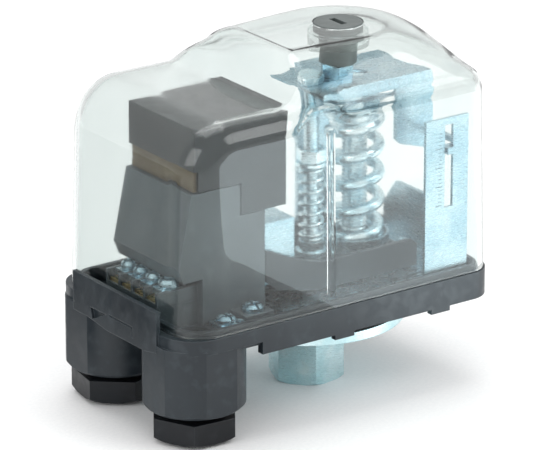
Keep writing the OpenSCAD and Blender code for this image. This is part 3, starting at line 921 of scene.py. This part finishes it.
    def _cage(self) -> tuple[np.ndarray, Faces, list[int]]:
        """Builds the five-sided box of points that is drawn onto the skin.

        Returns:
            The points, the faces, and the points along the open foot in order.
        """
        xs = self._lines(self.near_x, self.far_x, self.step_x, self.fine_x)
        ys = self._lines(-self.half_depth, self.half_depth, self.step_y, self.fine_y)
        zs = self._lines(self.foot, self.dome_high.height, self.step_z, self.fine_z)
        index: dict[tuple[int, int, int], int] = {}
        points: list[tuple[float, float, float]] = []

        def at(i: int, j: int, k: int) -> int:
            key = (i, j, k)
            if key not in index:
                index[key] = len(points)
                points.append((xs[i], ys[j], zs[k]))
            return index[key]

        faces: Faces = []
        last_x, last_y, last_z = len(xs) - 1, len(ys) - 1, len(zs) - 1

        def upright(start: tuple[int, int], end: tuple[int, int], k: int) -> None:
            faces.append((at(*start, k), at(*end, k), at(*end, k + 1), at(*start, k + 1)))

        for i in range(last_x):
            for j in range(last_y):
                corners = ((i, j), (i + 1, j), (i + 1, j + 1), (i, j + 1))
                faces.append(tuple(at(*corner, last_z) for corner in corners))
            for k in range(last_z):
                upright((i, 0), (i + 1, 0), k)
                upright((i + 1, last_y), (i, last_y), k)
        for j in range(last_y):
            for k in range(last_z):
                upright((0, j + 1), (0, j), k)
                upright((last_x, j), (last_x, j + 1), k)
        foot = [at(i, 0, 0) for i in range(last_x)] + [at(last_x, j, 0) for j in range(last_y)]
        foot += [at(i, last_y, 0) for i in range(last_x, 0, -1)] + [at(0, j, 0) for j in range(last_y, 0, -1)]
        return np.array(points), faces, foot

    def _draw_on(self, cage: np.ndarray, skin: Callable[[np.ndarray], np.ndarray]) -> np.ndarray:
        """Moves the cage's points along their rays onto a skin.

        Args:
            cage: Points of the five-sided box.
            skin: Field whose zero is the skin.

        Returns:
            The points on the skin.
        """
        deep = self.half_depth - self.core_side
        inner_low = np.array([self.near_x + self.core_near, -deep, 0.0])
        inner_high = np.array([self.far_x - self.core_far, deep, self.shoulder - self.core_top])
        start = np.clip(cage, inner_low, inner_high)
        way = cage - start
        way /= np.linalg.norm(way, axis=1)[:, None]
        near, far = np.zeros(len(cage)), np.full(len(cage), self.ray_reach)
        for _ in range(self.ray_halvings):
            middle = (near + far) / 2
            inside = skin(start + way * middle[:, None]) < 0.0
            near, far = np.where(inside, middle, near), np.where(inside, far, middle)
        return start + way * near[:, None]

    def _shell(self) -> bpy.types.Object:
        """Builds the closed shell: outer skin, inner skin and the foot between them."""
        cage, faces, foot = self._cage()
        outer = self._draw_on(cage, self.distance)
        inner = self._draw_on(cage, lambda p: self.distance(p) + self._thickness(p))
        shift = len(cage)
        closed = faces + [tuple(i + shift for i in reversed(face)) for face in faces]
        for a, b in zip(foot, foot[1:] + foot[:1]):
            closed.append((b, a, a + shift, b + shift))
        return MeshDraft(np.vstack([outer, inner]), closed).piece("cover_shell", 50.0)

    def _mark_core_side(self, mesh: bpy.types.Mesh) -> None:
        """Gives the faces of the inner skin the second finish.

        Args:
            mesh: The shell's mesh, in metres.
        """
        middle = np.empty(3 * len(mesh.polygons))
        mesh.polygons.foreach_get("center", middle)
        depth = self.distance(middle.reshape(-1, 3) / MM)
        mesh.polygons.foreach_set("material_index", (depth < -0.6 * self.wall).astype(int))

    def _cut(self, shell: bpy.types.Object, radius: float, low: float, high: float, operation: str) -> None:
        """Adds or cuts a round boss or hole on the screw's axis.

        Args:
            shell: The cover.
            radius: Radius of the tool.
            low: Its lower end.
            high: Its upper end.
            operation: UNION or DIFFERENCE.
        """
        turn = round_angles(ROUND_SIDES)
        x, y = self.screw_x + radius * np.cos(turn), radius * np.sin(turn)
        rings = [np.stack([x, y, np.full(ROUND_SIDES, z)], axis=1) for z in (low, high)]
        tool = ring_tube(np.array(rings)).piece("cover_tool")
        step = shell.modifiers.new("cut", "BOOLEAN")
        step.operation, step.solver, step.object = operation, "EXACT", tool
        settled = shell.evaluated_get(bpy.context.evaluated_depsgraph_get())
        mesh = bpy.data.meshes.new_from_object(settled)
        shell.modifiers.clear()
        shell.data = mesh
        bpy.data.objects.remove(tool)

    def build(self) -> bpy.types.Object:
        """Builds and dresses the cover, its screw and the screw's insert."""
        shell = self._shell()
        self._cut(shell, self.boss_radius, self.boss_low, self.seat_height + 1.0, "UNION")
        self._cut(shell, self.seat_radius, self.seat_height, self.dome_high.height + 2.0, "DIFFERENCE")
        self._cut(shell, self.hole_radius, self.boss_low - 2.0, self.dome_high.height, "DIFFERENCE")
        smooth_faces(shell.data, 35.0)
        self.dress("screw_polyamide", "cover_screw")
        self.dress("blue_zinc", "cover_insert")
        shell.data.materials.clear()
        piece = self.settle(shell, "clear_polycarbonate", Body.COVER, Slot.COVER, ["cover"])
        piece.data.materials.append(self.shelf.take("clear_core_side"))
        self._mark_core_side(piece.data)
        return piece


@dataclass
class CoilSpring:
    """A compression spring with closed and ground ends.

    Its joint, fixed_end and keep are not used.
    """

    name: str
    node: str
    x: float
    y: float
    low: float
    high: float
    mean_radius: float
    wire_radius: float
    turns: float
    closed_turns: float
    closed_pitch: float
    start_degrees: float
    joint: str
    fixed_end: float
    keep: float
    sides: int = 14
    steps_per_turn: int = 40

    def draft(self) -> MeshDraft:
        """Sweeps the wire along its coil and grinds the ends flat."""
        count = int(self.turns * self.steps_per_turn) + 1
        turn = np.linspace(0.0, self.turns, count)
        last = self.turns - self.closed_turns
        open_share = smooth_step(turn, self.closed_turns - 0.25, self.closed_turns + 0.35)
        open_share *= 1.0 - smooth_step(turn, last - 0.35, last + 0.25)
        low, high = self.low + 0.9 * self.wire_radius, self.high - 0.9 * self.wire_radius
        step = np.diff(turn)
        closed = self.closed_pitch * step
        middle = (open_share[1:] + open_share[:-1]) / 2 * step
        spare = (high - low) - closed.sum()
        height = low + np.concatenate([[0.0], np.cumsum(closed + middle * spare / middle.sum())])
        angle = 2 * math.pi * turn + math.radians(self.start_degrees)
        x, y = self.x + self.mean_radius * np.cos(angle), self.y + self.mean_radius * np.sin(angle)
        centre = np.stack([x, y, height], axis=1)
        along = np.gradient(centre, axis=0)
        along /= np.linalg.norm(along, axis=1)[:, None]
        outward = np.stack([np.cos(angle), np.sin(angle), np.zeros(count)], axis=1)
        upward = np.cross(outward, along)
        around = round_angles(self.sides)
        rings = (
            centre[:, None, :]
            + self.wire_radius * np.cos(around)[None, :, None] * outward[:, None, :]
            + self.wire_radius * np.sin(around)[None, :, None] * upward[:, None, :]
        )
        rings[:, :, 2] = np.clip(rings[:, :, 2], self.low, self.high)
        return ring_tube(rings)


@dataclass
class Springs(Assembly):
    """The range, differential and contact springs."""

    coils: tuple[CoilSpring, ...] = (
        CoilSpring(
            "range_spring", "main_spring", 17.4, 0.0, 40.4, 83.0, 7.5, 1.8, 6.05, 0.75, 0.6, 288.0,
            "range_seat_travel", 40.4, 0.705,
        ),
        CoilSpring(
            "differential_coil", "differential_spring", 1.3, 0.0, 43.5, 67.5, 3.4, 0.6, 8.0, 1.0, 1.1, 200.0,
            "differential_seat_travel", 43.5, 0.829, sides=10, steps_per_turn=32,
        ),
        CoilSpring(
            "contact_coil", "contact_spring", -36.0, 0.0, 86.1, 90.9, 2.2, 0.3, 4.0, 0.8, 0.6, 30.0,
            "pusher_lift", 90.9, 0.6, sides=8, steps_per_turn=28,
        ),
    )

    def build(self) -> None:
        """Builds the three springs."""
        for coil in self.coils:
            made = coil.draft().piece(coil.name)
            piece = self.settle(made, "spring_zinc", Body.BASE, Slot.SPRING, [coil.node])
            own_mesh(piece)


@dataclass
class ThreadedRod:
    """A rod with a rolled metric thread and a chamfered tip."""

    name: str
    x: float
    y: float
    low: float
    high: float
    radius: float
    pitch: float
    thread_low: float
    thread_high: float
    sides: int = 32
    steps_per_pitch: int = 8
    depth_share: float = 0.54
    tip_chamfer: float = 0.6

    def draft(self) -> MeshDraft:
        """Builds the rod as rings whose radius follows the thread."""
        depth = self.depth_share * self.pitch
        count = int((self.high - self.low) / self.pitch * self.steps_per_pitch) + 1
        height = np.linspace(self.low, self.high, count)
        around = round_angles(self.sides)
        phase = height[:, None] / self.pitch - around[None, :] / (2 * math.pi)
        wave = np.abs((phase % 1.0) * 2.0 - 1.0)
        groove = np.clip(wave * 1.35 - 0.15, 0.0, 1.0)
        lead = smooth_step(height, self.thread_low, self.thread_low + self.pitch)
        lead = lead * (1.0 - smooth_step(height, self.thread_high - self.pitch, self.thread_high))
        radius = self.radius - depth * groove * lead[:, None]
        tip = np.minimum(height - self.low, self.high - height)
        chamfer = self.tip_chamfer
        radius = np.minimum(radius, self.radius - chamfer + np.minimum(tip, chamfer)[:, None])
        x, y = self.x + radius * np.cos(around)[None, :], self.y + radius * np.sin(around)[None, :]
        return ring_tube(np.stack([x, y, np.repeat(height[:, None], self.sides, axis=1)], axis=2))


def hexagon(x: float, y: float, flats: float, low: float, high: float) -> MeshDraft:
    """Builds a hexagon head with turned chamfers.

    Args:
        x: Place along X.
        y: Place along Y.
        flats: Width across flats.
        low: Lower face.
        high: Upper face.

    Returns:
        The head.
    """
    chamfer = 0.07 * flats
    around = round_angles(ROUND_SIDES)
    flat = (flats / 2) / np.cos((around + math.pi / 6) % (math.pi / 3) - math.pi / 6)
    corner = flats / math.sqrt(3)
    turned = corner - chamfer
    levels = ((low, turned), (low + 0.5 * chamfer, corner), (high - 0.5 * chamfer, corner), (high, turned))
    rings = []
    for z, limit in levels:
        radius = np.minimum(flat, limit)
        ring = [x + radius * np.cos(around), y + radius * np.sin(around), np.full(ROUND_SIDES, z)]
        rings.append(np.stack(ring, axis=1))
    return ring_tube(np.array(rings))


@dataclass
class Mechanism(Assembly):
    """Frame, lever, studs, nuts and scale under the dome."""

    main_x: float = 17.4
    diff_x: float = 1.3
    scale_face: float = -30.5
    scale_low: float = 57.6
    scale_high: float = 81.0
    scale_step: float = 1.2
    scale_edge: float = 27.4
    line_length: float = 1.3
    line_width: float = 0.18
    long_every: int = 5
    long_length: float = 2.4
    long_width: float = 0.26
    ink: float = 0.04
    ink_foot: float = 0.005

    def _studs(self) -> None:
        """Builds the two threaded studs."""
        main = ThreadedRod("main_stud_thread", self.main_x, 0.0, 33.5, 92.2, 3.9, 1.25, 44.0, 93.0)
        self.settle(main.draft().piece(main.name, 30.0), "spring_zinc", Body.BASE, Slot.ZINC, ["main_stud"])
        small = ThreadedRod(
            "differential_stud_thread", self.diff_x, 0.0, 40.8, 94.4, 2.4, 0.8, 40.0, 96.0, sides=24
        )
        draft = small.draft().joined(hexagon(self.diff_x, 0.0, 7.0, 93.02, 95.6))
        self.settle(draft.piece(small.name, 30.0), "spring_zinc", Body.BASE, Slot.ZINC, ["differential_stud"])

    def _graduations(self) -> None:
        """Prints the scale's divisions beside its slot, as thin raised ink."""
        points: list[tuple[float, float, float]] = []
        faces: Faces = []
        count = int((self.scale_high - self.scale_low) / self.scale_step) + 1
        for i in range(count):
            z = self.scale_low + i * self.scale_step
            is_long = i % self.long_every == 0
            length = self.long_length if is_long else self.line_length
            thick = self.long_width if is_long else self.line_width
            start = len(points)
            for y in (self.scale_face + self.ink_foot, self.scale_face - self.ink):
                for dx, dz in ((0.0, 0.0), (-length, 0.0), (-length, thick), (0.0, thick)):
                    points.append((self.scale_edge + dx, y, z + dz))
            faces.append(tuple(start + k for k in (4, 5, 6, 7)))
            for k in range(4):
                n = (k + 1) % 4
                faces.append((start + k, start + n, start + 4 + n, start + 4 + k))
        piece = MeshDraft(np.array(points), faces).piece("scale_graduations", 30.0)
        self.settle(piece, "scale_ink", Body.BASE, Slot.ZINC)

    def build(self) -> None:
        """Builds the studs and the scale's divisions, and dresses the rest."""
        self._studs()
        self._graduations()
        self.dress(
            "blue_zinc", "chassis_plate", "bridge_bracket", "bridge_screws", "pivot_pins", "trip_bracket",
            "spring_cup", "indicator_plate", "scale_plate", "scale_screws",
        )
        self.dress("spring_zinc", "main_nut", "spring_bushing", "differential_washer", "differential_nut")
        self.dress("lever_black", "rocker_lever")


@dataclass
class ContactBlock(Assembly):
    """Terminal block, contacts and earth strap."""

    def build(self) -> None:
        """Dresses the block and its metal."""
        self.dress("phenolic_black", "contact_cover")
        self.dress("phenolic_grey", "terminal_block")
        self.dress("pressed_fibre", "insulating_plate")
        self.dress("pusher_moulding", "contact_pusher")
        self.dress("contact_brass", "fixed_contacts", "moving_contacts", "terminal_plates")
        self.dress(
            "blue_zinc", "block_screws", "terminal_screws", "wire_clamps", "earth_strap", "earth_screws"
        )


@dataclass
class PressureSide(Assembly):
    """Port, flange, diaphragm and piston."""

    def build(self) -> None:
        """Dresses the pressure parts."""
        self.dress("port_zinc", "pressure_port", "pressure_flange", "piston")
        self.dress("blue_zinc", "flange_screws")
        self.dress("diaphragm_rubber", "diaphragm")


@dataclass
class Housing(Assembly):
    """Base moulding and cable glands."""

    def build(self) -> None:
        """Dresses the base and both glands."""
        self.dress("anthracite_polyamide", "base_housing")
        for side in ("front", "back"):
            self.dress("black_polyamide", f"gland_nut_{side}")
            self.dress("washer_zinc", f"gland_washer_{side}")
            self.dress("seal_rubber", f"gland_seal_{side}")


# ---------------------------------------------------------------------------
# Studio
# ---------------------------------------------------------------------------


@dataclass(frozen=True)
class SoftLamp:
    """A large soft lamp aimed at the middle of the switch."""

    name: str
    place: tuple[float, float, float]
    size: float
    power: float

    def light(self, aim: Vector) -> bpy.types.Object:
        """Adds the lamp.

        Args:
            aim: Point it faces, in metres.

        Returns:
            The lamp.
        """
        data = bpy.data.lights.new(self.name, "AREA")
        data.shape, data.size, data.energy = "SQUARE", self.size, self.power
        lamp = bpy.data.objects.new(self.name, data)
        lamp.location = Vector(self.place)
        lamp.rotation_euler = (lamp.location - aim).to_track_quat("Z", "Y").to_euler()
        bpy.context.scene.collection.objects.link(lamp)
        return lamp


@dataclass(frozen=True)
class GlossCard:
    """A card lying beside the switch that only its reflections show."""

    name: str
    low: tuple[float, float]
    high: tuple[float, float]
    glow: float
    colour: Colour = (1.0, 1.0, 1.0)
    height: float = 2.0

    def lay(self) -> bpy.types.Object:
        """Adds the card, seen in reflections and nowhere else."""
        material = bpy.data.materials.new(self.name)
        material.use_nodes = True
        material.node_tree.nodes.clear()
        bench = ShaderBench(material.node_tree)
        glow = bench.node("ShaderNodeEmission")
        glow.inputs["Strength"].default_value = self.glow
        glow.inputs["Color"].default_value = (*self.colour, 1.0)
        output = bench.node("ShaderNodeOutputMaterial")
        bench.feed(output.inputs["Surface"], glow.outputs[0])
        (x0, y0), (x1, y1) = self.low, self.high
        points = np.array([(x, y, self.height) for x, y in ((x0, y0), (x1, y0), (x1, y1), (x0, y1))])
        card = MeshDraft(points, [(0, 1, 2, 3)]).piece(self.name)
        card.data.materials.append(material)
        card.visible_camera = card.visible_diffuse = card.visible_transmission = False
        card.visible_shadow = card.visible_volume_scatter = False
        return card


@dataclass
class Studio:
    """Pale floor, soft lamps and the camera."""

    target: tuple[float, float, float] = (-26.29, -20.40, 59.67)
    azimuth: float = -35.507
    elevation: float = 20.004
    distance: float = 1326.8
    lens: float = 294.4
    world_strength: float = 0.85
    floor_half: float = 6000.0
    floor_tiles: int = 24
    lamp_aim: tuple[float, float, float] = (-0.012, 0.0, 0.055)
    lamps: tuple[SoftLamp, ...] = (
        SoftLamp("key_lamp", (0.55, -0.75, 0.75), 0.7, 5.0),
        SoftLamp("side_lamp", (-0.95, -0.25, 0.55), 0.6, 2.8),
        SoftLamp("top_lamp", (0.05, 0.35, 1.3), 1.0, 7.5),
    )
    cards: tuple[GlossCard, ...] = (
        GlossCard("white_card", (40.0, -420.0), (420.0, -75.0), 5.2, (0.86, 0.96, 1.0)),
        GlossCard("dark_card", (-900.0, 0.0), (-105.0, 900.0), 0.02),
    )

    def camera(self) -> bpy.types.Object:
        """Adds the camera and makes it the scene's own."""
        turn, lift = math.radians(self.azimuth), math.radians(self.elevation)
        back = Vector((math.sin(turn) * math.cos(lift), -math.cos(turn) * math.cos(lift), math.sin(lift)))
        data = bpy.data.cameras.new("camera")
        data.lens, data.sensor_width = self.lens, 36.0
        data.clip_start, data.clip_end = 0.05, 50.0
        camera = bpy.data.objects.new("camera", data)
        camera.location = Vector(self.target) * MM + back * self.distance * MM
        camera.rotation_euler = back.to_track_quat("Z", "Y").to_euler()
        bpy.context.scene.collection.objects.link(camera)
        bpy.context.scene.camera = camera
        return camera

    def floor(self) -> bpy.types.Object:
        """Adds the pale floor that the gland nuts and the port stand over."""
        material, bench, shader = start_material("pale_floor")
        speck = bench.noise(bench.place(), 900.0, 2.0)
        tone = bench.mix(bench.remap(speck, 0.3, 0.7, 0.0, 1.0), (0.86, 0.865, 0.87), (0.90, 0.90, 0.90))
        bench.feed(shader.inputs["Base Color"], tone)
        shader.inputs["Roughness"].default_value = 0.8
        row = self.floor_tiles + 1
        steps = np.linspace(-self.floor_half, self.floor_half, row)
        points = np.array([(x, y, 0.0) for y in steps for x in steps])
        starts = [j * row + i for j in range(self.floor_tiles) for i in range(self.floor_tiles)]
        faces = [(start, start + 1, start + row + 1, start + row) for start in starts]
        floor = MeshDraft(points, faces).piece("studio_floor")
        floor.data.materials.append(material)
        return floor

    def build(self) -> None:
        """Sets up the whole studio."""
        scene = bpy.context.scene
        scene.view_settings.view_transform = "Standard"
        world = bpy.data.worlds.new("studio")
        world.use_nodes = True
        sky = world.node_tree.nodes["Background"]
        sky.inputs["Color"].default_value = (1.0, 1.0, 1.0, 1.0)
        sky.inputs["Strength"].default_value = self.world_strength
        scene.world = world
        self.floor()
        for lamp in self.lamps:
            lamp.light(Vector(self.lamp_aim))
        for card in self.cards:
            card.lay()
        self.camera()


def clear_start() -> None:
    """Removes what Blender puts in a new scene."""
    for obj in list(bpy.data.objects):
        bpy.data.objects.remove(obj)


def main() -> None:
    """Builds the switch and its studio."""
    logging.basicConfig(level=logging.INFO, format="%(name)s: %(message)s")
    clear_start()
    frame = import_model()
    Studio().build()
    shelf = FinishShelf()
    for assembly in (Housing, PressureSide, Mechanism, Springs, ContactBlock, CoverShell):
        assembly(frame, shelf).build()
        log.info("%s done", assembly.__name__)
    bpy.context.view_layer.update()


if __name__ == "__main__":
    main()
